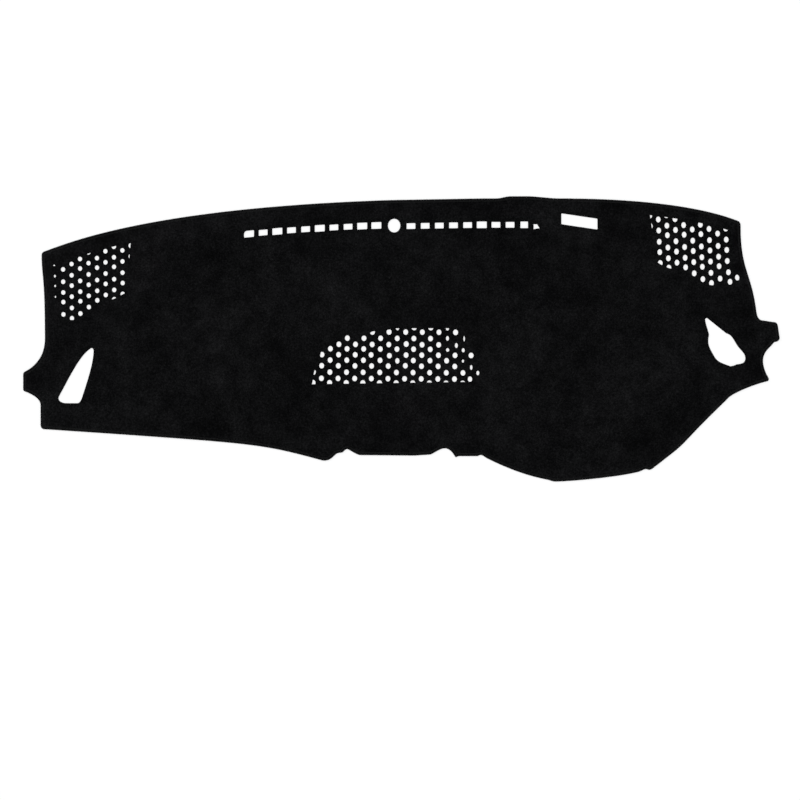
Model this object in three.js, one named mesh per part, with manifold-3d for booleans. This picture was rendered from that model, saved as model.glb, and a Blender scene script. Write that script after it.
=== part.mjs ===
import * as THREE from 'three';
import { mergeVertices } from 'three/addons/utils/BufferGeometryUtils.js';
import Module from 'manifold-3d';

// Dashboard cover mat: one flat piece of thick felt, cut to the top of a dashboard.
// Millimetres. +X runs along the dashboard, +Y points to the windscreen, +Z is up.
// The mat lies on its underside at Z = 0, with the middle of its outline on the Z axis.

// Whole mat
const matLength = 1400;
const matDepth = 528;
const feltThickness = 4;

// Windscreen edge: a long sweep, a nearly straight middle, a flat crown with a low hump, a sweep
const middleStart = -20;
const middleDrop = 7;
const crownStart = 150;
const crownEnd = 290;
const humpHeight = 4;
const humpStart = 176;
const humpLength = 113;
const humpTopLength = 34;
const humpRun = 26;
const humpSoftness = 8.7;

// Corners of the mat
const windscreenCornerLeft = { inset: 42, drop: 101 };
const windscreenCornerRight = { inset: 76, drop: 46 };
const cornerCut = 8;
const cornerSoftness = 2;
const sideCornerCut = cornerCut + cornerSoftness;

// Right end, from the windscreen down: side, tab and door notch
const rightSideTopInset = 72;
const rightTabRootInset = 43;
const rightTabRootDrop = 212;
const rightTabRootRun = 12;
const rightTabTopDrop = 233.4;
const rightTabFall = 3.5;
const rightTabWidth = 36.6;
const rightTabSlant = 4;
const notchInset = 10;
const notchLipInset = 21;
const notchLength = 68;
const notchLip = 4;

// Apron over the instrument hood, at the right of the front edge
const apronShoulderInset = 91;
const apronShoulderDrop = 370;
const apronCornerInset = 230;
const apronCornerRise = 28;
const apronNibPoint = [-11, -6.5];
const apronNibEnd = [-17, -5];
const apronCrestInset = 410;
const apronCrestLength = 7;
const apronEndX = 147;

// Front edge between the apron and the left corner, with two finger scallops
const frontRise = 48;
const frontLip = 1;
const frontLipRun = 6;
const rightScallopStart = 100;
const rightScallopEnd = 54;
const rightScallopLip = 3;
const rightScallopRest = 2;
const rightScallopRestRun = 30;
const leftScallopStart = -77;
const leftScallopMiddle = -105;
const leftScallopDepth = 10;
const leftScallopStep = 4;
const leftScallopShelf = [-7, -1];
const leftScallopEnd = -146;
const leftScallopLow = 39;
const frontCornerInset = 38;
const frontCornerRise = 97;

// Left end, from the front up: side and tab
const leftSideLowInset = 32;
const leftTabLowRise = 143;
const leftTabRise = 167;
const leftTabWidth = 37;
const leftTabCorner = 4;
const leftSideInset = 40;
const leftShoulderInset = 31;
const leftShoulderMiddle = 25;
const leftShoulderHeight = 60;

// Long bends. Each handle reaches a share of the bend's width and depth, from its own end
const windscreenLeftBend = { start: [0.08, 0.2], end: [0.68, 0.15] };
const windscreenRightBend = { start: [0.55, 0], end: [0.15, 0.48] };
const rightSideBend = { start: [0, 0.52], end: [0.31, 0.455] };
const rightShoulderBend = { start: [0.2, 0.11], end: [0.31, 0.5] };
const apronSideBend = { start: [0.78, 0.8], end: [0.54, 0.44] };
const apronFrontBend = { start: [0.14, 0.565], end: [0.11, 0] };
const apronEndBend = { start: [0.08, 0.1], end: [0.6, 0.88] };
const frontLeftBend = { start: [0.23, 0.55], end: [0.78, 0.47] };
const leftSideBend = { start: [0, 0.8], end: [0, 0.27] };

// Short bends. Each handle is a way in millimetres, from its own end
const notchBend = { start: [-8.4, -13.5], end: [-25.3, 46.7] };
const rightScallopBend = { start: [-16, 29.4], end: [16, 7] };
const leftScallopBend = { start: [-13, 3], end: [4.5, 7] };
const leftScallopTail = { start: [-8, 0], end: [18, -2.4] };
const leftTabFootBend = { start: [-1, 5.6], end: [25, -10] };
const leftTabTopBend = { start: [14, 7], end: [-5, -8] };
const leftShoulderBend = { start: [5, 8], end: [0, -14] };

// Sensor hole and demister slots, in a row inside the windscreen edge
const sensorX = -13.4;
const sensorWidth = 23.6;
const sensorHeight = 25.9;
const slotPitch = 26.2;
const slotsLeftOfSensor = 10;
const slotsRightOfSensor = 9;
const sensorToLeftSlot = 33;
const sensorToRightSlot = 31.2;
const slotInsetLeft = 46;
const slotInsetRight = 48.7;
const sensorInset = 47.3;
const slotWidth = 17.2;
const slotHeight = 11.6;
const slotCorner = 2;
const wideSlotWidth = 19.4;
const wideSlotHeight = 13.2;
const wideSlotsLeft = [0, 1, 4, 7, 9];
const wideSlotsRight = [5];
const endSlotWidth = 15;
const endSlotCorner = 7;
const wedgeLength = 12;
const wedgeHeight = 10;
const wedgeTopLength = 7;
const wedgeTip = 2;
const wedgeGap = 9.5;
const wedgeDrop = 8.5;

// Slanted window, to the right of the slots
const windowStart = 295.7;
const windowWidth = 67.8;
const windowHeight = 21;
const windowFall = 10;
const windowInset = 27;
const windowCorner = 2.5;

// Openings for the side vents
const leftVentInset = 65;
const leftVentRise = 144.5;
const leftVentWidth = 65.5;
const leftVentHeight = 103;
const rightVentInset = 138;
const rightVentDrop = 224.5;
const rightVentWidth = 76.5;
const rightVentHeight = 90.5;

// Outlines of the side vents, stretch by stretch. Places and handles are shares of the vent's
// width and height: a corner is rounded off, a start and an end are the handles of a bend
const leftVentStart = [0.214, 0];
const leftVentOutline = [
  { start: [-0.137, 0], end: [-0.092, -0.087], to: [0.023, 0.146] },
  { start: [0.275, 0.32], end: [-0.29, -0.126], to: [0.878, 0.98] },
  { corner: [1, 1.039], to: [1, 0.932] },
  { start: [-0.015, -0.233], end: [0.153, 0.301], to: [0.664, 0.087] },
  { corner: [0.611, 0], to: [0.534, 0] },
  { to: leftVentStart }
];
const rightVentStart = [0, -0.044];
const rightVentOutline = [
  { corner: [0.013, 0.011], to: [0.065, -0.011] },
  { to: [0.523, -0.32] },
  { start: [0.118, -0.022], end: [-0.052, 0.077], to: [0.745, -0.508] },
  { start: [0.065, -0.11], end: [-0.039, 0.066], to: [0.961, -0.751] },
  { start: [0.052, -0.088], end: [0.092, 0.011], to: [0.882, -0.945] },
  { to: [0.771, -0.961] },
  { corner: [0.68, -1], to: [0.614, -1] },
  { start: [-0.288, 0.088], end: [0.105, -0.166], to: [0.183, -0.74] },
  { start: [-0.105, 0.155], end: [-0.039, -0.177], to: [0.092, -0.343] },
  { start: [-0.026, 0.099], end: [0.013, -0.11], to: rightVentStart }
];

// Punched hole fields: staggered oval holes, cut off at the border of the field
const rowPitch = 20.15;
const rowWobble = [-1.35, 0.25, 1.4, -0.75, 1.1, -0.45];
const smallestSliver = 7;
const ovalFacets = 10;

const leftColumnPitch = 15.72;
const leftHoleWidth = 8.7;
const leftHoleHeight = 9.5;
const leftRowClimb = 0.8;
const leftColumnLean = 0.16;
const leftFieldInsetLeft = 32;
const leftFieldInsetRight = 28.5;

// Where each field starts and ends, from an end of the mat and from its back or front edge
const leftFieldFirst = [73.5, 136.6];
const leftFieldLeft = 66;
const leftFieldRight = 199;
const leftFieldBorder = [
  [195.5, 125],
  [195, 176],
  [168, 190],
  [142, 198],
  [112, 218],
  [96, 229.5],
  [66, 229.5],
  [66, 197],
  [54, 197],
  [54, 125],
  [66, 125]
];
const rightFieldFirst = [176.5, 72.3];
const rightFieldLeft = 240;
const rightFieldRight = 89;
const rightFieldBorder = [
  [89, 134],
  [75, 147],
  [72, 165],
  [126, 165],
  [143, 162],
  [160, 150],
  [174, 138],
  [204, 133.5],
  [221, 126],
  [227, 122]
];
const middleFieldFirst = [-147.1, 234.6];
const middleFieldBorder = [
  [-166, 179.7],
  [-161.5, 204],
  [-153.5, 222],
  [-149, 243],
  [-138, 255],
  [-124, 265],
  [-103, 272],
  [-66, 270],
  [-54, 278],
  [-23, 281.5],
  [-14, 283.8],
  [24, 284],
  [92, 284],
  [104, 281],
  [119.5, 271.5],
  [122.5, 242.5],
  [134.5, 241],
  [138, 217],
  [145, 212],
  [145, 190],
  [139, 184.6]
];

const rightColumnPitch = 15.5;
const rightHoleWidth = 9.4;
const rightHoleHeight = 11.8;
const rightRowClimb = 0.5;
const rightColumnLean = 0.93;
const rightFieldInset = 23;

const middleHoleWidth = 9.9;
const middleHoleHeight = 11.2;
const middleColumnPitch = 15.4;
const middleRowPitch = 21.05;
const middleRowClimb = -0.09;
const middleColumnLean = -0.52;
const middleRowWobble = [-0.4, -0.9, -0.9, 0.4, 1.4, -0.8];

// Holes that are partly closed or stand out of line, by column and half row of their field
const oddLeftHoles = [
  { column: -1, half: -1, width: 3.7, height: 2.8, shiftX: -0.6, shiftY: -1 },
  { column: -1, half: 1, width: 4, height: 5.6, shiftX: 0.5 },
  { column: -1, half: 3, width: 3.8, height: 4.6, shiftX: 0.8, shiftY: 1 },
  { column: -1, half: 5, width: 2.8, height: 4.2, shiftX: 1.2, shiftY: 1.3 }
];
const oddRightHoles = [
  { column: 4, half: 8, shiftX: 0.9 },
  { column: 5, half: 7, shiftX: 1.3 },
  { column: 5, half: 9, shiftX: 3.3, shiftY: 1.6 },
  { column: 6, half: 8, shiftX: 1.8, shiftY: 1 }
];
const oddMiddleHoles = [
  { column: 6, half: 0, shiftX: -1.5 },
  { column: 8, half: 0, shiftX: 1.6, shiftY: -1.3 },
  { column: 9, half: -5, width: 7, shiftY: -1.9 },
  { column: 9, half: 1, width: 8.6, shiftX: 1.2, shiftY: -0.8 },
  { column: 10, half: -2, shiftX: 1.5, shiftY: 1.2 },
  { column: 10, half: 0, shiftX: 1.7 },
  { column: 10, half: 2, shiftX: 0.9, shiftY: 0.8 },
  { column: 11, half: -5, shiftY: -1.6 },
  { column: 13, half: -5, shiftY: -1.6 },
  { column: 15, half: -5, width: 6.5, shiftY: -1.9 },
  { column: 15, half: -3, width: 6, height: 9.4, shiftX: 0.6, shiftY: 0.6 },
  { column: 15, half: -1, width: 6.7, height: 7.2, shiftX: 1.4, shiftY: -1 },
  { column: 16, half: -2, width: 6, height: 10, shiftX: 1.9, shiftY: -1 },
  { column: 17, half: -3, width: 3.2, height: 10.4, shiftX: 0.7 },
  { column: 17, half: -1, width: 6, height: 8.4, shiftX: -0.5, shiftY: -1.4 },
  { column: 17, half: 1, width: 4.6, height: 6, shiftX: -0.5, shiftY: -0.5 },
  { column: 18, half: 0, width: 10.2, shiftX: -1.1 },
  { column: 18, half: 2, width: 5, height: 9.6, shiftX: -0.3, shiftY: -1.7 },
  { column: 18, half: 4, width: 9, shiftX: -2.1 },
  { column: 19, half: 3, width: 6, height: 8.8, shiftX: -3.2 }
];

// How far a cutter reaches past each face of the felt
const cutReach = 1;

const leftEnd = -matLength / 2;
const rightEnd = matLength / 2;
const frontEdge = -matDepth / 2;
const backEdge = matDepth / 2;

const wasm = await Module();
wasm.setup();

const at = (x, y) => new THREE.Vector2(x, y);
const fromLeftBack = (inset, drop) => at(leftEnd + inset, backEdge - drop);
const fromLeftFront = (inset, rise) => at(leftEnd + inset, frontEdge + rise);
const fromRightBack = (inset, drop) => at(rightEnd - inset, backEdge - drop);
const fromRightFront = (inset, rise) => at(rightEnd - inset, frontEdge + rise);
const fromMiddleFront = (x, rise) => at(x, frontEdge + rise);

// Adds a straight stretch to a path.
function lineTo(path, end) {
  path.lineTo(end.x, end.y);
}

// Adds a short bend to a path.
function bendTo(path, bend, end) {
  const first = path.currentPoint.clone().add(at(...bend.start));
  const second = end.clone().add(at(...bend.end));
  path.bezierCurveTo(first.x, first.y, second.x, second.y, end.x, end.y);
}

// A long bend as a curve of its own.
function sweepBetween(start, end, bend) {
  const span = end.clone().sub(start);
  const first = at(...bend.start).multiply(span).add(start);
  const second = at(...bend.end).multiply(span).negate().add(end);
  return new THREE.CubicBezierCurve(start, first, second, end);
}

// Adds a long bend to a path.
function sweepTo(path, bend, end) {
  path.add(sweepBetween(path.currentPoint.clone(), end, bend));
  path.currentPoint.copy(end);
}

// Adds a rounded corner to a path.
function roundTo(path, corner, end) {
  path.quadraticCurveTo(corner.x, corner.y, end.x, end.y);
}

// Points along a closed path. A curve gets more pieces the longer it is.
function pointsAlong(path) {
  const fewestPieces = 3;
  const points = [];
  for (const curve of path.curves) {
    const wanted = Math.round(Math.sqrt(curve.getLength()));
    const pieces = curve.isLineCurve ? 1 : Math.max(fewestPieces, wanted);
    points.push(...curve.getSpacedPoints(pieces).slice(0, -1));
  }
  return points;
}

// The windscreen edge without its hump. Everything along that edge is placed from it.
const windscreenStart = fromLeftBack(windscreenCornerLeft.inset, windscreenCornerLeft.drop);
const windscreenFinish = fromRightBack(windscreenCornerRight.inset, windscreenCornerRight.drop);
const middleLeft = at(middleStart, backEdge - middleDrop);
const crownLeft = at(crownStart, backEdge - humpHeight);
const crownRight = at(crownEnd, backEdge - humpHeight);
const leftSweep = sweepBetween(windscreenStart, middleLeft, windscreenLeftBend);
const rightSweep = sweepBetween(crownRight, windscreenFinish, windscreenRightBend);
const windscreenLine = [
  ...leftSweep.getSpacedPoints(60),
  crownLeft,
  ...rightSweep.getSpacedPoints(30)
];

// Height of the windscreen edge over a place along the mat.
function windscreenAt(x) {
  const next = windscreenLine.findIndex((point) => point.x >= x);
  if (next < 1) {
    return windscreenLine.at(next).y;
  }
  const before = windscreenLine[next - 1];
  const after = windscreenLine[next];
  const share = (x - before.x) / (after.x - before.x);
  return THREE.MathUtils.lerp(before.y, after.y, share);
}

// Adds the whole windscreen edge to a path, left to right.
function addWindscreenEdge(path) {
  path.add(leftSweep);
  path.currentPoint.copy(middleLeft);
  lineTo(path, crownLeft);
  const humpFoot = at(humpStart, crownLeft.y);
  const humpTop = at(humpStart + humpRun, crownLeft.y + humpHeight);
  const humpFinish = at(humpStart + humpLength, crownLeft.y);
  const humpBend = { start: [humpSoftness, 0], end: [-humpSoftness, 0] };
  lineTo(path, humpFoot);
  bendTo(path, humpBend, humpTop);
  lineTo(path, humpTop.clone().add(at(humpTopLength, 0)));
  bendTo(path, humpBend, humpFinish);
  lineTo(path, crownRight);
  path.add(rightSweep);
  path.currentPoint.copy(windscreenFinish);
}

// Adds the right side, its tab and the door notch to a path, windscreen corner to notch.
function addRightEnd(path) {
  const sideTop = fromRightBack(rightSideTopInset, windscreenCornerRight.drop + sideCornerCut);
  roundTo(path, at(sideTop.x, windscreenFinish.y - cornerSoftness), sideTop);
  const tabRoot = fromRightBack(rightTabRootInset, rightTabRootDrop);
  sweepTo(path, rightSideBend, tabRoot);
  const tabTop = fromRightBack(rightTabRootInset - rightTabRootRun, rightTabTopDrop - rightTabFall);
  roundTo(path, at(tabRoot.x + cornerSoftness, tabTop.y), tabTop);
  lineTo(path, fromRightBack(rightTabSlant + cornerCut / 2, rightTabTopDrop));
  const faceTop = fromRightBack(rightTabSlant - 1, rightTabTopDrop + cornerCut);
  roundTo(path, fromRightBack(rightTabSlant, rightTabTopDrop + 1), faceTop);
  const tabFoot = rightTabTopDrop + rightTabWidth;
  lineTo(path, fromRightBack(0, tabFoot - cornerCut));
  roundTo(path, fromRightBack(0, tabFoot - 1), fromRightBack(notchInset, tabFoot));
  const lip = fromRightBack(notchLipInset - 1, tabFoot + notchLength);
  bendTo(path, notchBend, lip);
  lineTo(path, fromRightBack(notchLipInset, tabFoot + notchLength + notchLip));
}

// Adds the apron over the instrument hood to a path, right to left.
function addApron(path) {
  sweepTo(path, rightShoulderBend, fromRightBack(apronShoulderInset, apronShoulderDrop));
  const corner = fromRightFront(apronCornerInset, apronCornerRise);
  sweepTo(path, apronSideBend, corner);
  lineTo(path, corner.clone().add(at(...apronNibPoint)));
  lineTo(path, corner.clone().add(at(...apronNibEnd)));
  const crest = fromRightFront(apronCrestInset, 0);
  sweepTo(path, apronFrontBend, crest);
  lineTo(path, crest.clone().add(at(-apronCrestLength, 0)));
  sweepTo(path, apronEndBend, at(apronEndX, frontEdge + frontRise + frontLip));
}

// Adds the front edge with its two scallops to a path, right to left.
function addFrontEdge(path) {
  const front = frontEdge + frontRise;
  lineTo(path, at(apronEndX - frontLipRun, front - frontLip));
  lineTo(path, at(rightScallopStart + frontLipRun, front - frontLip));
  lineTo(path, at(rightScallopStart, front - rightScallopLip));
  bendTo(path, rightScallopBend, at(rightScallopEnd, front + rightScallopRest));
  lineTo(path, at(rightScallopEnd - rightScallopRestRun, front));
  lineTo(path, at(leftScallopStart, front + frontLip));
  const leftScallopTop = at(leftScallopMiddle, front + leftScallopDepth);
  bendTo(path, leftScallopBend, leftScallopTop);
  const shelf = leftScallopTop.clone().sub(at(leftScallopStep, leftScallopStep));
  lineTo(path, shelf);
  lineTo(path, shelf.clone().add(at(...leftScallopShelf)));
  bendTo(path, leftScallopTail, at(leftScallopEnd, frontEdge + leftScallopLow));
  sweepTo(path, frontLeftBend, fromLeftFront(frontCornerInset, frontCornerRise));
}

// Adds the left side and its tab to a path, front corner to windscreen corner.
function addLeftEnd(path) {
  const sideFoot = fromLeftFront(leftSideLowInset, frontCornerRise + cornerCut + 1);
  roundTo(path, fromLeftFront(leftSideLowInset, frontCornerRise + 1), sideFoot);
  lineTo(path, fromLeftFront(leftSideLowInset, leftTabLowRise));
  const tabTop = leftTabRise + leftTabWidth;
  bendTo(path, leftTabFootBend, fromLeftFront(leftTabCorner - 1, leftTabRise));
  roundTo(path, fromLeftFront(0, leftTabRise + 1), fromLeftFront(0, leftTabRise + leftTabCorner));
  lineTo(path, fromLeftFront(0, tabTop - leftTabCorner * 1.5));
  roundTo(path, fromLeftFront(0, tabTop - 2), fromLeftFront(leftTabCorner, tabTop));
  bendTo(path, leftTabTopBend, fromLeftFront(leftShoulderInset, tabTop + leftShoulderMiddle));
  bendTo(path, leftShoulderBend, fromLeftFront(leftSideInset, tabTop + leftShoulderHeight));
  const sideTop = at(windscreenStart.x - cornerCut, windscreenStart.y - cornerCut);
  sweepTo(path, leftSideBend, sideTop);
  roundTo(path, at(sideTop.x, windscreenStart.y - cornerSoftness), windscreenStart);
}

// The outline of the mat, clockwise from the left end of the windscreen edge.
function matOutline() {
  const path = new THREE.Path();
  path.moveTo(windscreenStart.x, windscreenStart.y);
  addWindscreenEdge(path);
  addRightEnd(path);
  addApron(path);
  addFrontEdge(path);
  addLeftEnd(path);
  return pointsAlong(path);
}

// A rectangle with rounded corners whose right side may stand lower than its left.
function softRectangle(width, height, fall, radius, endRadius = radius) {
  const path = new THREE.Path();
  const halfWidth = width / 2;
  const halfHeight = height / 2;
  const tilt = fall / width;
  const corner = (x, y) => at(x, y - tilt * x);
  path.moveTo(-halfWidth, -halfHeight + endRadius / 2 + tilt * halfWidth);
  lineTo(path, corner(-halfWidth, halfHeight - endRadius));
  roundTo(path, corner(-halfWidth, halfHeight), corner(-halfWidth + endRadius, halfHeight));
  lineTo(path, corner(halfWidth - radius, halfHeight));
  roundTo(path, corner(halfWidth, halfHeight), corner(halfWidth, halfHeight - radius));
  lineTo(path, corner(halfWidth, -halfHeight + radius));
  roundTo(path, corner(halfWidth, -halfHeight), corner(halfWidth - radius, -halfHeight));
  lineTo(path, corner(-halfWidth + radius, -halfHeight));
  roundTo(path, corner(-halfWidth, -halfHeight), path.curves[0].v1);
  return pointsAlong(path);
}

// An oval drawn with few straight facets, which keeps the area of the true oval.
function oval(width, height, facets) {
  const step = (2 * Math.PI) / facets;
  const grow = Math.sqrt(step / Math.sin(step)) / 2;
  const points = [];
  for (let i = 0; i < facets; i += 1) {
    points.push(at(grow * width * Math.cos(i * step), grow * height * Math.sin(i * step)));
  }
  return points;
}

const moved = (points, place) => points.map((point) => point.clone().add(place));

// One demister slot, turned along the windscreen edge over it.
function slotAt(x, inset, width, height, endRadius) {
  const slope = (windscreenAt(x + slotPitch) - windscreenAt(x - slotPitch)) / (2 * slotPitch);
  const place = at(x, windscreenAt(x) - inset);
  return moved(softRectangle(width, height, -slope * width, slotCorner, endRadius), place);
}

// The row of demister slots with the sensor hole among them and a short wedge at its right end.
function slotRow() {
  const openings = [];
  for (let i = 0; i < slotsLeftOfSensor; i += 1) {
    const wide = wideSlotsLeft.includes(i);
    const width = wide ? wideSlotWidth : slotWidth;
    const height = wide ? wideSlotHeight : slotHeight;
    const last = i === slotsLeftOfSensor - 1;
    const x = sensorX - sensorToLeftSlot - slotPitch * i;
    openings.push(slotAt(x, slotInsetLeft, width, height, last ? endSlotCorner : slotCorner));
  }
  for (let i = 0; i < slotsRightOfSensor; i += 1) {
    const wide = wideSlotsRight.includes(i);
    const last = i === slotsRightOfSensor - 1;
    const width = wide ? wideSlotWidth : slotWidth;
    const height = wide || last ? wideSlotHeight : slotHeight;
    const x = sensorX + sensorToRightSlot + slotPitch * i;
    openings.push(slotAt(x, slotInsetRight, last ? endSlotWidth : width, height, slotCorner));
  }
  const sensorY = windscreenAt(sensorX) - sensorInset;
  openings.push(moved(oval(sensorWidth, sensorHeight, ovalFacets * 2), at(sensorX, sensorY)));
  const lastSlot = sensorX + sensorToRightSlot + slotPitch * (slotsRightOfSensor - 1);
  const wedgeStart = lastSlot + endSlotWidth / 2 + wedgeGap;
  const wedgeFoot = windscreenAt(wedgeStart) - slotInsetRight - wedgeDrop;
  openings.push([
    at(wedgeStart, wedgeFoot),
    at(wedgeStart, wedgeFoot + wedgeHeight),
    at(wedgeStart + wedgeTopLength, wedgeFoot + wedgeHeight),
    at(wedgeStart + wedgeLength, wedgeFoot + wedgeTip)
  ]);
  return openings;
}

// The slanted window to the right of the slots.
function slantedWindow() {
  const middle = windowStart + windowWidth / 2;
  const place = at(middle, backEdge - humpHeight - windowInset - (windowHeight + windowFall) / 2);
  return moved(softRectangle(windowWidth, windowHeight, windowFall, windowCorner), place);
}

// A closed outline from its start and its stretches, which are shares of its width and height.
function outlineOf(origin, width, height, startPlace, stretches) {
  const size = at(width, height);
  const spot = (place) => at(...place).multiply(size).add(origin);
  const reach = (handle) => at(...handle).multiply(size).toArray();
  const path = new THREE.Path();
  const start = spot(startPlace);
  path.moveTo(start.x, start.y);
  for (const stretch of stretches) {
    const end = spot(stretch.to);
    if (stretch.corner) {
      roundTo(path, spot(stretch.corner), end);
    } else if (stretch.start) {
      bendTo(path, { start: reach(stretch.start), end: reach(stretch.end) }, end);
    } else {
      lineTo(path, end);
    }
  }
  return pointsAlong(path);
}

// The opening for the left side vent: a long drop shape that leans to the right.
function leftVent() {
  const foot = fromLeftFront(leftVentInset, leftVentRise);
  return outlineOf(foot, leftVentWidth, leftVentHeight, leftVentStart, leftVentOutline);
}

// The opening for the right side vent: pointed at the top left and the lower right.
function rightVent() {
  const top = fromRightBack(rightVentInset, rightVentDrop);
  return outlineOf(top, rightVentWidth, rightVentHeight, rightVentStart, rightVentOutline);
}

// The staggered holes that may touch a field, counted from its first hole.
function holesOf(field) {
  const holes = [];
  for (let column = -field.columnsBefore; column <= field.columnsAfter; column += 1) {
    for (let half = -field.rowsAbove; half <= field.rowsBelow; half += 1) {
      if ((column + half) % 2 === 0) {
        const wobble = field.wobble.at(half % field.wobble.length);
        const x = column * field.columnPitch + (half * field.lean) / 2;
        const y = column * field.climb - (half * field.rowPitch) / 2 - wobble;
        const odd = field.oddHoles.find((hole) => hole.column === column && hole.half === half);
        const { width, height, shiftX, shiftY } = { ...field, ...odd };
        const place = field.firstHole.clone().add(at(x + shiftX, y + shiftY));
        holes.push(moved(oval(width, height, ovalFacets), place));
      }
    }
  }
  return holes;
}

const leftField = {
  columnPitch: leftColumnPitch,
  rowPitch,
  wobble: rowWobble,
  shiftX: 0,
  shiftY: 0,
  oddHoles: oddLeftHoles,
  width: leftHoleWidth,
  height: leftHoleHeight,
  climb: leftRowClimb,
  lean: leftColumnLean,
  firstHole: fromLeftBack(...leftFieldFirst),
  columnsBefore: 1,
  columnsAfter: 8,
  rowsAbove: 6,
  rowsBelow: 9,
  border: [
    ...leftFieldBorder.map((place) => fromLeftBack(...place)),
    ...borderUnderWindscreen(
      leftEnd + leftFieldLeft,
      leftEnd + leftFieldRight,
      leftFieldInsetLeft,
      leftFieldInsetRight
    )
  ]
};

const rightField = {
  columnPitch: rightColumnPitch,
  rowPitch,
  wobble: rowWobble,
  shiftX: 0,
  shiftY: 0,
  oddHoles: oddRightHoles,
  width: rightHoleWidth,
  height: rightHoleHeight,
  climb: rightRowClimb,
  lean: rightColumnLean,
  firstHole: fromRightBack(...rightFieldFirst),
  columnsBefore: 4,
  columnsAfter: 7,
  rowsAbove: 5,
  rowsBelow: 9,
  border: [
    ...rightFieldBorder.map((place) => fromRightBack(...place)),
    ...borderUnderWindscreen(
      rightEnd - rightFieldLeft,
      rightEnd - rightFieldRight,
      rightFieldInset,
      rightFieldInset
    )
  ]
};

const middleField = {
  columnPitch: middleColumnPitch,
  rowPitch: middleRowPitch,
  wobble: middleRowWobble,
  shiftX: 0,
  shiftY: 0,
  oddHoles: oddMiddleHoles,
  width: middleHoleWidth,
  height: middleHoleHeight,
  climb: middleRowClimb,
  lean: middleColumnLean,
  firstHole: fromMiddleFront(...middleFieldFirst),
  columnsBefore: 1,
  columnsAfter: 19,
  rowsAbove: 5,
  rowsBelow: 6,
  border: middleFieldBorder.map((place) => fromMiddleFront(...place))
};

// The side of a field that runs along the windscreen edge, left to right.
function borderUnderWindscreen(start, end, startInset, endInset) {
  const stations = 6;
  const points = [];
  for (let i = 0; i <= stations; i += 1) {
    const x = THREE.MathUtils.lerp(start, end, i / stations);
    const inset = THREE.MathUtils.lerp(startInset, endInset, i / stations);
    points.push(at(x, windscreenAt(x) - inset));
  }
  return points;
}

// A solid with a flat outline, from one height to another.
function solidOf(points, bottom, top) {
  const shape = new THREE.Shape(points);
  const geometry = new THREE.ExtrudeGeometry(shape, { depth: top - bottom, bevelEnabled: false });
  geometry.translate(0, 0, bottom);
  geometry.deleteAttribute('normal');
  geometry.deleteAttribute('uv');
  const merged = mergeVertices(geometry);
  return new wasm.Manifold(new wasm.Mesh({
    numProp: 3,
    vertProperties: merged.attributes.position.array,
    triVerts: new Uint32Array(merged.index.array)
  }));
}

const cutterOf = (points) => solidOf(points, -cutReach, feltThickness + cutReach);
const joined = (solids) => solids.reduce((sum, solid) => sum.add(solid));

// The cutter for one field: its holes, cut off at the border, without the finest slivers.
function fieldCutter(field) {
  const clipped = joined(holesOf(field).map(cutterOf)).intersect(cutterOf(field.border));
  const cutterHeight = feltThickness + 2 * cutReach;
  const kept = clipped.decompose().filter((solid) => {
    return solid.volume() > smallestSliver * cutterHeight;
  });
  return joined(kept);
}

// The mat as a mesh geometry.
function matGeometry() {
  const openings = [...slotRow(), slantedWindow(), leftVent(), rightVent()].map(cutterOf);
  const fields = [leftField, rightField, middleField].map(fieldCutter);
  const blank = solidOf(matOutline(), 0, feltThickness);
  const mesh = blank.subtract(joined([...openings, ...fields])).getMesh();
  const geometry = new THREE.BufferGeometry();
  geometry.setAttribute('position', new THREE.BufferAttribute(mesh.vertProperties, 3));
  geometry.setIndex(new THREE.BufferAttribute(mesh.triVerts, 1));
  geometry.computeVertexNormals();
  return geometry;
}

const blackFelt = new THREE.MeshStandardMaterial({
  name: 'black_felt',
  color: 0x0a0a0b,
  roughness: 0.95,
  metalness: 0
});

const mat = new THREE.Mesh(matGeometry(), blackFelt);
mat.name = 'dashboard_mat';

const dashboardCoverMat = new THREE.Group();
dashboardCoverMat.add(mat);

export default dashboardCoverMat;
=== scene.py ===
"""The looks of a dashboard cover mat: a sheet of black needle felt with an overlocked edge."""

import math

import bpy
import numpy as np
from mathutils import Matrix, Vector, kdtree, noise
from mathutils.geometry import delaunay_2d_cdt


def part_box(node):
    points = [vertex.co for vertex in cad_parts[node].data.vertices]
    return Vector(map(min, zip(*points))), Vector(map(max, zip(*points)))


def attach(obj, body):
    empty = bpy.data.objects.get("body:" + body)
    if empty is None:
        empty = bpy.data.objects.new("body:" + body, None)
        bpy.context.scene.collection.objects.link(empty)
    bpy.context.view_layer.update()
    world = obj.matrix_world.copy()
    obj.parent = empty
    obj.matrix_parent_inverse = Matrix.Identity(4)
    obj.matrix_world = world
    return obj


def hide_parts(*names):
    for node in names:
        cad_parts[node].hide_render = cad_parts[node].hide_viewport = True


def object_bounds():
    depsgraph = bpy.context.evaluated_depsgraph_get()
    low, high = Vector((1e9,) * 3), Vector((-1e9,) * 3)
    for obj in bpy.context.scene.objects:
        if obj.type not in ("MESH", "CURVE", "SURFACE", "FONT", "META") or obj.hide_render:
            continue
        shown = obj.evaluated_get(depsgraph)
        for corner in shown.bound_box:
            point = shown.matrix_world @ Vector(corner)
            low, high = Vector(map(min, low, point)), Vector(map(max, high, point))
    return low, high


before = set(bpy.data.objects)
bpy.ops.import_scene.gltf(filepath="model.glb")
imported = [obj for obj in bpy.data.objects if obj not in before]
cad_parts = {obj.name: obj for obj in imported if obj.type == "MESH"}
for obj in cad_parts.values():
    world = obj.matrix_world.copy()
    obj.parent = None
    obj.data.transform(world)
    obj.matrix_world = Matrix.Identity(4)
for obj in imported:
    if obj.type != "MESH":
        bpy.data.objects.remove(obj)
cad_low, cad_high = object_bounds()

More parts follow.
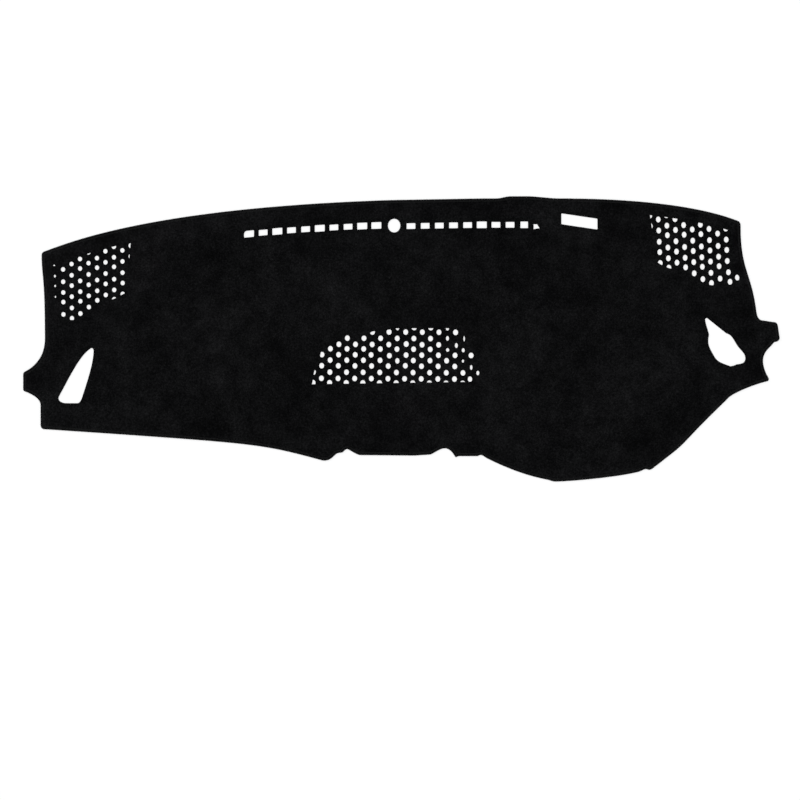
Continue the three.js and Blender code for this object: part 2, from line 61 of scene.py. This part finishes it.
# The mat node, the height of its upper face, and how nearly a face has to meet that height
MAT_NODE = "dashboard_mat"
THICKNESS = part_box(MAT_NODE)[1][2]
HEIGHT_SLACK = 1e-5

# Corners of the node are matched to the micrometre. The second keeps a division from failing
MICROMETRES = 1e6
TINY = 1e-12

# A bend in a cut line is drawn smooth, unless it turns more sharply than this, or its two sides
# differ in length by more than this factor
CORNER_TURN = math.radians(50)
UNEVEN = 2.2

# The longest piece of a cut line, the most that it turns by, and the facets of a punched oval
LONGEST_PIECE = 0.006
WIDEST_TURN = math.radians(13)
OVAL_FACETS = 10

# The cut edge, from the underside up: how far in, and how high as a share of the thickness
EDGE_PROFILE = [
    (0.0005, 0.0),
    (0.00012, 0.04),
    (0.0, 0.18),
    (0.0, 0.45),
    (0.0, 0.72),
    (0.00028, 0.93),
    (0.0009, 1.0),
]

# The fuzz on the cut edge, and how fine it is
EDGE_FUZZ = 0.00013
FUZZ_SCALE = 900

# An opening narrower than this has a sharper edge, by this share
SMALL_HOLE = 0.03
HOLE_EDGE_SHARE = 0.6

# The fringe of fibres that stands into an opening at mid height, and its limit as a share of the
# opening's width
HOLE_FRINGE = 0.00055
FRINGE_SHARE = 0.06

# The staggered grid that fills the felt, how far it keeps from the edges, and how near two points
# are one
GRID_STEP = 0.012
GRID_CLEARANCE = 0.0045
SAME_POINT = 1e-7

# How the sheet lies: three waves, each with its radians to a metre along X and Y and its start,
# how much the short one takes away, and the ends of the tabs, which rise
LONG_WAVE = (9.1, 5.3, 0.7)
CROSS_WAVE = (4.3, -11.7, 0.0)
SHORT_WAVE = (17.3, -3.1, 2.2)
SHORT_WAVE_SHARE = 0.4
WAVE_HEIGHT = 0.0011
TAB_LIFT = 0.0016
TAB_REACH = 0.05

# The overlocked edge: how far apart the stitches are, how far in they reach, and their slant
STITCH_PITCH = 0.0027
STITCH_DEPTH = 0.0052
STITCH_SLANT = 0.0011

# The chain's points at each stitch, as shares of the pitch and of the depth
CHAIN_POINTS = ((0.0, 1.0), (0.5, 0.9))

# The thread, and a slanted direction from which the sides of its section are measured
THREAD_RADIUS = 0.00034
THREAD_SIDES = 5
THREAD_GUIDE = (0.31, 0.17, 0.93)

# The fibres of the felt: how many to a metre, the range that is spread from 0 to 1, their
# directions in radians, how much longer than wide, and how curled
FIBRE_SCALE = 1500.0
FIBRE_RANGE = (0.5, 0.8)
FIBRE_TURNS = (0.2, 0.85, 1.5, 2.1, 2.75)
FIBRE_LENGTH = 5.0
FIBRE_CURL = 1.2

# The needle marks: how many to a metre, the range that is spread from 0 to 1, and their depth
NEEDLE_SCALE = 420.0
NEEDLE_RANGE = (0.05, 0.45)
NEEDLE_DEPTH = 0.6

# The uneven layers: patches to a metre, detail, and the range that is spread from 0 to 1
TUFTS = (330.0, 3.0, 0.3, 0.7)
FLEECE = (34.0, 4.0, 0.3, 0.7)
PATCHES = (7.0, 3.0, 0.35, 0.65)

# How much each adds to the surface or to the shade, and how far the shades are drawn apart.
# The surface's share of the shade is partly painted light: raised fibres and tufts paler as
# painted highlights, needle pits darker as painted shade, over the felt's own uneven tone.
# The fleece and patches are the felt's own uneven tone. Drawing the shades apart leaves only
# the palest fibres bright, as painted glints
TUFT_SHARE = 0.7
SURFACE_TONE_AND_PAINTED_LIGHT = 0.42
FLEECE_SHADE = 0.16
PATCH_SHADE = 0.13
SHADE_CONTRAST = 2.6

# The darkest and the palest colour of each material. On the felt, the paler end comes partly
# from painted highlights on raised fibres and tufts
FACE_BLACKS = ((0.0003, 0.0003, 0.0004), (0.024, 0.024, 0.025))
BACK_BLACKS = ((0.0006, 0.0006, 0.0007), (0.026, 0.026, 0.027))
THREAD_BLACKS = ((0.0016, 0.0016, 0.0018), (0.007, 0.007, 0.0075))

# The felt's roughness falls and rises by this much. The thread's lies in this range
ROUGHNESS_FALL = 0.05
ROUGHNESS_RISE = 0.04
THREAD_ROUGHNESS = (0.5, 0.68)

# The twist of the thread: patches to a metre, how much longer than wide, and slope in radians
TWIST_SCALE = 2600.0
TWIST_LENGTH = 3.3
TWIST_SLOPE = 0.7

# The floor: half its width, and how much of what the camera sees of it is plain white
FLOOR_HALF = 40.0
FLOOR_WHITE = 0.8

# The camera looks straight down. The photograph is 1.481 m wide at the mat's upper face
PHOTO_WIDTH = 1.4808
PHOTO_CENTRE = (-0.0026, -0.1131)
CAMERA_HEIGHT = 5.0
SENSOR_WIDTH = 36.0


def traced_loops(node):
    """The closed edges of a node's upper face, with the felt on the left of each."""
    next_of = {}
    points = {}

    def key(co):
        return (round(co.x * MICROMETRES), round(co.y * MICROMETRES))

    mesh = node.data
    placed = [node.matrix_world @ v.co for v in mesh.vertices]
    edges = set()
    for polygon in mesh.polygons:
        corners = [placed[i] for i in polygon.vertices]
        if min(c.z for c in corners) < THICKNESS - HEIGHT_SLACK:
            continue
        keys = [key(c) for c in corners]
        points.update((k, (c.x, c.y)) for k, c in zip(keys, corners))
        edges.update(zip(keys, keys[1:] + keys[:1]))
    for start, end in edges:
        if (end, start) not in edges:
            next_of[start] = end
    loops = []
    for first in sorted(next_of):
        if first not in next_of:
            continue
        loop = [first]
        following = next_of.pop(first)
        while following != first:
            loop.append(following)
            following = next_of.pop(following)
        loops.append(np.array([points[k] for k in loop]))
    return sorted(loops, key=lambda loop: -abs(area_of(loop)))


def area_of(loop):
    """The area inside a closed loop, above zero where it runs anticlockwise."""
    x, y = loop.T
    return float((x * np.roll(y, -1) - np.roll(x, -1) * y).sum() / 2)


def unit(vectors):
    """Each vector at length one."""
    return vectors / np.maximum(np.linalg.norm(vectors, axis=-1, keepdims=True), TINY)


def smoothed(loop):
    """A loop with its bends drawn round. Corners and long straight stretches stay."""
    if len(loop) == OVAL_FACETS:
        step = 2 * math.pi / OVAL_FACETS
        middle = loop.mean(axis=0)
        loop = middle + (loop - middle) * math.sqrt(math.sin(step) / step)
    ways = np.roll(loop, -1, axis=0) - loop
    lengths = np.linalg.norm(ways, axis=1)
    after = unit(ways)
    before = np.roll(after, 1, axis=0)
    before_length = np.roll(lengths, 1)
    turn = np.arccos(np.clip((before * after).sum(axis=1), -1, 1))
    ratio = np.maximum(lengths, before_length) / np.minimum(lengths, before_length)
    round_here = (turn < CORNER_TURN) & (ratio < UNEVEN)
    tangent = unit(before * lengths[:, None] + after * before_length[:, None])
    points = []
    count = len(loop)
    for i in range(count):
        j = (i + 1) % count
        start, end = loop[i], loop[j]
        first = tangent[i] if round_here[i] else None
        last = tangent[j] if round_here[j] else None
        if first is None and last is not None:
            first = 2 * (last @ after[i]) * after[i] - last
        if last is None and first is not None:
            last = 2 * (first @ after[i]) * after[i] - first
        pieces = max(1, math.ceil(lengths[i] / LONGEST_PIECE))
        if first is None:
            points.extend(start + (end - start) * k / pieces for k in range(pieces))
            continue
        bend = math.acos(max(-1.0, min(1.0, float(first @ last))))
        pieces = max(pieces, math.ceil(bend / WIDEST_TURN))
        for k in range(pieces):
            points.append(hermite(start, first * lengths[i], last * lengths[i], end, k / pieces))
    return np.array(points)


def hermite(start, leave, arrive, end, t):
    """A point on the smooth curve between two points with given directions."""
    return (
        (2 * t**3 - 3 * t**2 + 1) * start
        + (t**3 - 2 * t**2 + t) * leave
        + (3 * t**2 - 2 * t**3) * end
        + (t**3 - t**2) * arrive
    )


def outward(loop):
    """The direction away from the felt at each point of a loop."""
    along = unit(np.roll(loop, -1, axis=0) - loop)
    side = unit(along + np.roll(along, 1, axis=0))
    return np.stack([side[:, 1], -side[:, 0]], axis=1)


def inside(points, loops):
    """Which of the points lie on felt: inside the outline and in none of the holes."""
    found = np.zeros(len(points), dtype=bool)
    x, y = points[:, :1], points[:, 1:]
    for loop in loops:
        low, high = loop.min(axis=0), loop.max(axis=0)
        near = ((points >= low) & (points <= high)).all(axis=1)
        if not near.any():
            continue
        ax, ay = loop.T
        bx, by = np.roll(loop, -1, axis=0).T
        px, py = x[near], y[near]
        spans = (ay > py) != (by > py)
        rise = np.where(by == ay, TINY, by - ay)
        left = px < (bx - ax) * (py - ay) / rise + ax
        found[near] ^= ((spans & left).sum(axis=1) % 2).astype(bool)
    return found


def phase(x, y, wave):
    """How far along a wave a place lies, in radians."""
    along_x, along_y, start = wave
    return along_x * x + along_y * y + start


def lift(x, y):
    """How far the underside stands off the floor: long shallow waves, and tab ends that rise."""
    wave = 0.5 + 0.5 * math.sin(phase(x, y, LONG_WAVE)) * math.cos(phase(x, y, CROSS_WAVE))
    wave *= 1 - SHORT_WAVE_SHARE + SHORT_WAVE_SHARE * math.sin(phase(x, y, SHORT_WAVE))
    end = max(0.0, abs(x) - (cad_high.x - TAB_REACH)) / TAB_REACH
    return WAVE_HEIGHT * wave + TAB_LIFT * end * end


def edge_rings(loop, is_outline):
    """The rings of points that make a cut edge, from the underside to the upper face."""
    span = (loop.max(axis=0) - loop.min(axis=0)).min()
    share = 1.0 if is_outline or span > SMALL_HOLE else HOLE_EDGE_SHARE
    fringe = 0.0 if is_outline else min(HOLE_FRINGE, span * FRINGE_SHARE)
    away = outward(loop)
    rings = []
    for inset, height in EDGE_PROFILE:
        swell = fringe * math.sin(math.pi * height)
        ring = []
        for (x, y), (nx, ny) in zip(loop, away):
            fuzz = 0.0
            if 0.0 < height < 1.0:
                fuzz = EDGE_FUZZ * noise.noise(Vector((x, y, height * THICKNESS)) * FUZZ_SCALE)
            reach = swell - inset * share + fuzz
            px, py = x + nx * reach, y + ny * reach
            ring.append((px, py, height * THICKNESS + lift(px, py)))
        rings.append(ring)
    return rings


def grid_points(loops):
    """Points in a staggered grid on the felt, clear of every edge."""
    tree = kdtree.KDTree(sum(len(loop) for loop in loops))
    index = 0
    for loop in loops:
        for x, y in loop:
            tree.insert((x, y, 0.0), index)
            index += 1
    tree.balance()
    low, high = loops[0].min(axis=0), loops[0].max(axis=0)
    row_step = GRID_STEP * math.sqrt(0.75)
    points = []
    for row in range(int((high[1] - low[1]) / row_step) + 1):
        shift = GRID_STEP / 2 * (row % 2)
        for column in range(int((high[0] - low[0]) / GRID_STEP) + 1):
            points.append((low[0] + shift + column * GRID_STEP, low[1] + row * row_step))
    kept = inside(np.array(points), loops)
    return [
        p for p, on_felt in zip(points, kept)
        if on_felt and tree.find((p[0], p[1], 0.0))[2] > GRID_CLEARANCE
    ]


def filled(ring_loops, grid, loops):
    """Triangles over the felt, between the rings and the grid points, as point numbers."""
    flat = []
    edges = []
    for ring in ring_loops:
        first = len(flat)
        count = len(ring)
        flat.extend(Vector(p[:2]) for p in ring)
        edges.extend((first + i, first + (i + 1) % count) for i in range(count))
    flat.extend(Vector(p) for p in grid)
    points, _, triangles, origins, _, _ = delaunay_2d_cdt(flat, edges, [], 1, SAME_POINT)
    if len(points) != len(flat):
        raise RuntimeError("two edges of the mat cross")
    number = [origin[0] for origin in origins]
    corners = np.array([[flat[number[i]] for i in triangle] for triangle in triangles])
    kept = inside(corners.mean(axis=1), loops)
    return [[number[i] for i in t] for t, on_felt in zip(triangles, kept) if on_felt]


def mesh_object(name, vertices, faces, materials, face_slots=None):
    """A smooth-shaded mesh object in the scene."""
    mesh = bpy.data.meshes.new(name)
    mesh.from_pydata(vertices, [], faces)
    for material in materials:
        mesh.materials.append(material)
    mesh.polygons.foreach_set("use_smooth", [True] * len(mesh.polygons))
    if face_slots:
        mesh.polygons.foreach_set("material_index", face_slots)
    mesh.validate()
    mesh.update()
    piece = bpy.data.objects.new(name, mesh)
    bpy.context.scene.collection.objects.link(piece)
    return piece


def make_mat(loops, materials):
    """The felt: two faces, with a rounded cut edge round the outline and every hole."""
    vertices = []
    faces = []
    slots = []
    bottom_rings, top_rings = [], []
    bottom_numbers, top_numbers = [], []
    for index, loop in enumerate(loops):
        rings = edge_rings(loop, index == 0)
        count = len(loop)
        base = len(vertices)
        for ring in rings:
            vertices.extend(ring)
        for level in range(len(rings) - 1):
            low, high = base + level * count, base + (level + 1) * count
            for i in range(count):
                j = (i + 1) % count
                faces.append((low + i, low + j, high + j, high + i))
                slots.append(0)
        bottom_rings.append(rings[0])
        top_rings.append(rings[-1])
        bottom_numbers.extend(range(base, base + count))
        top_numbers.extend(range(base + (len(rings) - 1) * count, base + len(rings) * count))
    grid = grid_points(loops)
    sides = (
        (top_rings, top_numbers, THICKNESS, False, 0),
        (bottom_rings, bottom_numbers, 0.0, True, 1),
    )
    for ring_loops, numbers, height, flipped, slot in sides:
        numbers = numbers + list(range(len(vertices), len(vertices) + len(grid)))
        vertices.extend((x, y, height + lift(x, y)) for x, y in grid)
        flat_loops = [np.array([p[:2] for p in ring]) for ring in ring_loops]
        for triangle in filled(ring_loops, grid, flat_loops):
            face = [numbers[i] for i in triangle]
            faces.append(tuple(reversed(face)) if flipped else tuple(face))
            slots.append(slot)
    return mesh_object("felt_mat", vertices, faces, materials, slots)


def even_stations(loop, pitch):
    """Places along a closed loop at an even pitch, each with its direction away from the felt."""
    closed = np.vstack([loop, loop[:1]])
    steps = np.linalg.norm(np.diff(closed, axis=0), axis=1)
    run = np.concatenate([[0], np.cumsum(steps)])
    count = round(run[-1] / pitch)
    at = np.arange(count) * run[-1] / count
    x = np.interp(at, run, closed[:, 0])
    y = np.interp(at, run, closed[:, 1])
    away = outward(loop)
    away = np.vstack([away, away[:1]])
    nx = np.interp(at, run, away[:, 0])
    ny = np.interp(at, run, away[:, 1])
    return np.stack([x, y], axis=1), unit(np.stack([nx, ny], axis=1))


def add_thread(path, vertices, faces, closed=False):
    """Adds a thread of round section along a path of points."""
    path = np.array(path)
    if closed:
        ways = np.roll(path, -1, axis=0) - np.roll(path, 1, axis=0)
    else:
        ways = np.gradient(path, axis=0)
    ways = unit(ways)
    side = unit(np.cross(ways, THREAD_GUIDE))
    other = np.cross(ways, side)
    first = len(vertices)
    for point, a, b in zip(path, side, other):
        for k in range(THREAD_SIDES):
            angle = 2 * math.pi * k / THREAD_SIDES
            spoke = a * math.cos(angle) + b * math.sin(angle)
            vertices.append(tuple(point + THREAD_RADIUS * spoke))
    count = len(path)
    for i in range(count if closed else count - 1):
        low = first + i * THREAD_SIDES
        high = first + (i + 1) % count * THREAD_SIDES
        for k in range(THREAD_SIDES):
            m = (k + 1) % THREAD_SIDES
            faces.append((low + k, low + m, high + m, high + k))
    if not closed:
        faces.append(tuple(first + k for k in reversed(range(THREAD_SIDES))))
        last = first + (count - 1) * THREAD_SIDES
        faces.append(tuple(last + k for k in range(THREAD_SIDES)))


def make_stitching(outline, material):
    """The overlocked edge: slanted stitches wrapped over the rim, and a chain on the upper face."""
    vertices = []
    faces = []
    places, away = even_stations(outline, STITCH_PITCH)
    along = np.stack([-away[:, 1], away[:, 0]], axis=1)
    top = THICKNESS + THREAD_RADIUS * 0.3
    low = THREAD_RADIUS * 1.3
    # One stitch from its inner end over the rim: how far in, how high, and its share of the slant
    profile = [
        (STITCH_DEPTH, top - THREAD_RADIUS * 1.2, 0.0),
        (STITCH_DEPTH * 0.85, top + THREAD_RADIUS * 0.3, 0.1),
        (STITCH_DEPTH * 0.4, top + THREAD_RADIUS * 0.4, 0.5),
        (0.0009, top, 0.85),
        (-0.00005, THICKNESS * 0.9, 1.0),
        (-0.0003, THICKNESS * 0.5, 1.1),
        (-0.0001, THICKNESS * 0.2, 1.2),
        (0.0005, low, 1.3),
    ]
    chain = []
    for (x, y), (nx, ny), (tx, ty) in zip(places, away, along):
        path = []
        for inset, height, slant in profile:
            px = x - nx * inset + tx * STITCH_SLANT * slant
            py = y - ny * inset + ty * STITCH_SLANT * slant
            path.append((px, py, height + lift(px, py)))
        add_thread(path, vertices, faces)
        for step, depth in CHAIN_POINTS:
            px = x - nx * STITCH_DEPTH * depth + tx * STITCH_PITCH * step
            py = y - ny * STITCH_DEPTH * depth + ty * STITCH_PITCH * step
            chain.append((px, py, top + lift(px, py)))
    add_thread(chain, vertices, faces, closed=True)
    return mesh_object("edge_stitching", vertices, faces, [material])


def new_material(name):
    """A material with nodes, its tree, its shader and its output."""
    material = bpy.data.materials.new(name)
    material.use_nodes = True
    tree = material.node_tree
    return material, tree, tree.nodes["Principled BSDF"], tree.nodes["Material Output"]


def scaled_noise(tree, scale, detail=2.0, longer=1.0, turn=0.0, curl=0.0):
    """The value of a noise over the object, in patches of 1 / scale metres, turned and drawn out."""
    place = tree.nodes.new("ShaderNodeTexCoord").outputs["Object"]
    if longer != 1.0:
        mapping = tree.nodes.new("ShaderNodeMapping")
        mapping.vector_type = "TEXTURE"
        mapping.inputs["Rotation"].default_value = (0.0, 0.0, turn)
        mapping.inputs["Scale"].default_value = (1.0, longer, 1.0)
        tree.links.new(place, mapping.inputs["Vector"])
        place = mapping.outputs["Vector"]
    texture = tree.nodes.new("ShaderNodeTexNoise")
    texture.inputs["Scale"].default_value = scale
    texture.inputs["Detail"].default_value = detail
    texture.inputs["Distortion"].default_value = curl
    tree.links.new(place, texture.inputs["Vector"])
    return texture.outputs["Fac"]


def needle_marks(tree, scale):
    """Small pits where the needles went in: 0 at the middle of a pit, 1 between the pits."""
    place = tree.nodes.new("ShaderNodeTexCoord").outputs["Object"]
    texture = tree.nodes.new("ShaderNodeTexVoronoi")
    texture.inputs["Scale"].default_value = scale
    tree.links.new(place, texture.inputs["Vector"])
    return stepped(tree, texture.outputs["Distance"], *NEEDLE_RANGE)


def combined(tree, operation, first, second):
    """Two values joined by a math operation. Either may be a plain number."""
    node = tree.nodes.new("ShaderNodeMath")
    node.operation = operation
    for socket, value in zip(node.inputs, (first, second)):
        if isinstance(value, (int, float)):
            socket.default_value = value
        else:
            tree.links.new(value, socket)
    return node.outputs[0]


def added(tree, first, second, share):
    """A value with a share of another added to it."""
    return combined(tree, "ADD", first, combined(tree, "MULTIPLY", second, share))


def stepped(tree, value, low, high, from_value=0.0, to_value=1.0):
    """A value carried from one range to another."""
    node = tree.nodes.new("ShaderNodeMapRange")
    node.inputs["From Min"].default_value = low
    node.inputs["From Max"].default_value = high
    node.inputs["To Min"].default_value = from_value
    node.inputs["To Max"].default_value = to_value
    tree.links.new(value, node.inputs["Value"])
    return node.outputs["Result"]


def coloured(tree, value, dark, pale):
    """A colour between two, by a value from 0 to 1."""
    ramp = tree.nodes.new("ShaderNodeValToRGB")
    ramp.color_ramp.elements[0].color = (*dark, 1.0)
    ramp.color_ramp.elements[1].color = (*pale, 1.0)
    tree.links.new(value, ramp.inputs["Fac"])
    return ramp.outputs["Color"]


def fibres(tree, scale):
    """Short curled fibres that lie in every direction, as in needled felt."""
    strands = None
    for turn in FIBRE_TURNS:
        strand = scaled_noise(tree, scale, 2.0, FIBRE_LENGTH, turn, FIBRE_CURL)
        strands = strand if strands is None else combined(tree, "MAXIMUM", strands, strand)
    return strands


def uneven_layer(tree, scale, detail, low, high):
    """One uneven layer of the felt, from 0 to 1."""
    return stepped(tree, scaled_noise(tree, scale, detail), low, high)


def felt_material(name, blacks, depth, roughness):
    """Black felt: curled fibres, needle marks, small tufts, and uneven thickness of the fleece."""
    material, tree, shader, _ = new_material(name)
    strands = stepped(tree, fibres(tree, FIBRE_SCALE), *FIBRE_RANGE)
    tufts = uneven_layer(tree, *TUFTS)
    marks = needle_marks(tree, NEEDLE_SCALE)
    fleece = uneven_layer(tree, *FLEECE)
    patches = uneven_layer(tree, *PATCHES)
    pitted = added(tree, 1 - NEEDLE_DEPTH, marks, NEEDLE_DEPTH)
    fine = combined(tree, "MULTIPLY", strands, pitted)
    surface = added(tree, fine, tufts, TUFT_SHARE)
    # The surface height goes into the colour too: raised fibres and tufts paler as painted
    # highlights, needle pits darker as painted shade
    shade = combined(tree, "MULTIPLY", surface, SURFACE_TONE_AND_PAINTED_LIGHT)
    shade = added(tree, shade, fleece, FLEECE_SHADE)
    shade = added(tree, shade, patches, PATCH_SHADE)
    # Drawn apart so that only the palest fibres stay bright, as painted glints
    shade = combined(tree, "POWER", shade, SHADE_CONTRAST)
    tree.links.new(coloured(tree, shade, *blacks), shader.inputs["Base Color"])
    smoothest, roughest = roughness - ROUGHNESS_FALL, roughness + ROUGHNESS_RISE
    rough = stepped(tree, tufts, 0.0, 1.0, smoothest, roughest)
    tree.links.new(rough, shader.inputs["Roughness"])
    bump = tree.nodes.new("ShaderNodeBump")
    bump.inputs["Strength"].default_value = 0.8
    bump.inputs["Distance"].default_value = depth
    tree.links.new(surface, bump.inputs["Height"])
    tree.links.new(bump.outputs["Normal"], shader.inputs["Normal"])
    shader.inputs["Specular IOR Level"].default_value = 0.02
    shader.inputs["Sheen Weight"].default_value = 0.02
    shader.inputs["Sheen Roughness"].default_value = 0.45
    shader.inputs["Sheen Tint"].default_value = (0.5, 0.5, 0.52, 1.0)
    return material


def thread_material():
    """Black spun polyester thread, a little glossier than the felt."""
    material, tree, shader, _ = new_material("black_thread")
    twist = scaled_noise(tree, TWIST_SCALE, longer=TWIST_LENGTH, turn=TWIST_SLOPE)
    shade = stepped(tree, twist, 0.35, 0.7)
    tree.links.new(coloured(tree, shade, *THREAD_BLACKS), shader.inputs["Base Color"])
    rough = stepped(tree, twist, 0.3, 0.7, *THREAD_ROUGHNESS)
    tree.links.new(rough, shader.inputs["Roughness"])
    bump = tree.nodes.new("ShaderNodeBump")
    bump.inputs["Strength"].default_value = 0.5
    bump.inputs["Distance"].default_value = 0.00012
    tree.links.new(twist, bump.inputs["Height"])
    tree.links.new(bump.outputs["Normal"], shader.inputs["Normal"])
    shader.inputs["Specular IOR Level"].default_value = 0.14
    return material


def seen_directly(tree):
    """One for rays from the camera, and for those seen in gloss or through glass."""
    path = tree.nodes.new("ShaderNodeLightPath").outputs
    seen = combined(tree, "MAXIMUM", path["Is Camera Ray"], path["Is Glossy Ray"])
    return combined(tree, "MAXIMUM", seen, path["Is Transmission Ray"])


def make_floor():
    """A white floor that keeps a soft shadow of the mat."""
    material, tree, shader, output = new_material("white_floor")
    shader.inputs["Base Color"].default_value = (0.86, 0.86, 0.86, 1.0)
    shader.inputs["Roughness"].default_value = 0.9
    shader.inputs["Specular IOR Level"].default_value = 0.1
    glow = tree.nodes.new("ShaderNodeEmission")
    glow.inputs["Color"].default_value = (1.0, 1.0, 1.0, 1.0)
    mix = tree.nodes.new("ShaderNodeMixShader")
    plain_white = combined(tree, "MULTIPLY", seen_directly(tree), FLOOR_WHITE)
    tree.links.new(plain_white, mix.inputs["Fac"])
    tree.links.new(shader.outputs["BSDF"], mix.inputs[1])
    tree.links.new(glow.outputs["Emission"], mix.inputs[2])
    tree.links.new(mix.outputs["Shader"], output.inputs["Surface"])
    half = FLOOR_HALF
    corners = [(-half, -half, 0.0), (half, -half, 0.0), (half, half, 0.0), (-half, half, 0.0)]
    floor = mesh_object("floor", corners, [(0, 1, 2, 3)], [material])


def make_world():
    """Even studio light from all round, in front of a pale backdrop."""
    world = bpy.data.worlds.new("studio")
    world.use_nodes = True
    tree = world.node_tree
    light = tree.nodes["Background"]
    light.inputs["Color"].default_value = (0.95, 0.97, 1.0, 1.0)
    light.inputs["Strength"].default_value = 0.75
    backdrop = tree.nodes.new("ShaderNodeBackground")
    backdrop.inputs["Strength"].default_value = 1.0
    mix = tree.nodes.new("ShaderNodeMixShader")
    tree.links.new(seen_directly(tree), mix.inputs["Fac"])
    tree.links.new(light.outputs["Background"], mix.inputs[1])
    tree.links.new(backdrop.outputs["Background"], mix.inputs[2])
    tree.links.new(mix.outputs["Shader"], tree.nodes["World Output"].inputs["Surface"])
    bpy.context.scene.world = world


def make_lamp(name, place, size, power):
    """A square soft lamp that shines at the middle of the mat."""
    lamp = bpy.data.lights.new(name, "AREA")
    lamp.size = size
    lamp.energy = power
    holder = bpy.data.objects.new(name, lamp)
    holder.location = place
    holder.rotation_euler = (-Vector(place)).to_track_quat("-Z", "Y").to_euler()
    bpy.context.scene.collection.objects.link(holder)


def make_camera():
    """The photograph's view: straight down on the mat, with the windscreen edge at the top."""
    camera = bpy.data.cameras.new("camera")
    camera.sensor_width = SENSOR_WIDTH
    camera.lens = SENSOR_WIDTH * CAMERA_HEIGHT / PHOTO_WIDTH
    camera.clip_end = 100.0
    holder = bpy.data.objects.new("camera", camera)
    holder.location = (*PHOTO_CENTRE, THICKNESS + CAMERA_HEIGHT)
    bpy.context.scene.collection.objects.link(holder)
    bpy.context.scene.camera = holder


mat_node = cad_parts[MAT_NODE]
cut_lines = [smoothed(loop) for loop in traced_loops(mat_node)]

upper_felt = felt_material("black_felt_face", FACE_BLACKS, depth=0.0005, roughness=0.94)
under_felt = felt_material("black_felt_back", BACK_BLACKS, depth=0.0003, roughness=0.88)
felt_mat = make_mat(cut_lines, [upper_felt, under_felt])
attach(felt_mat, "root")
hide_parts(MAT_NODE)

edge_stitching = make_stitching(cut_lines[0], thread_material())
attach(edge_stitching, "root")

make_floor()
make_world()
make_lamp("key_light", place=(-1.6, 1.4, 2.6), size=1.6, power=60.0)
make_lamp("fill_light", place=(1.9, -1.2, 2.2), size=1.8, power=30.0)
make_camera()

scene = bpy.context.scene
scene.view_settings.view_transform = "Standard"
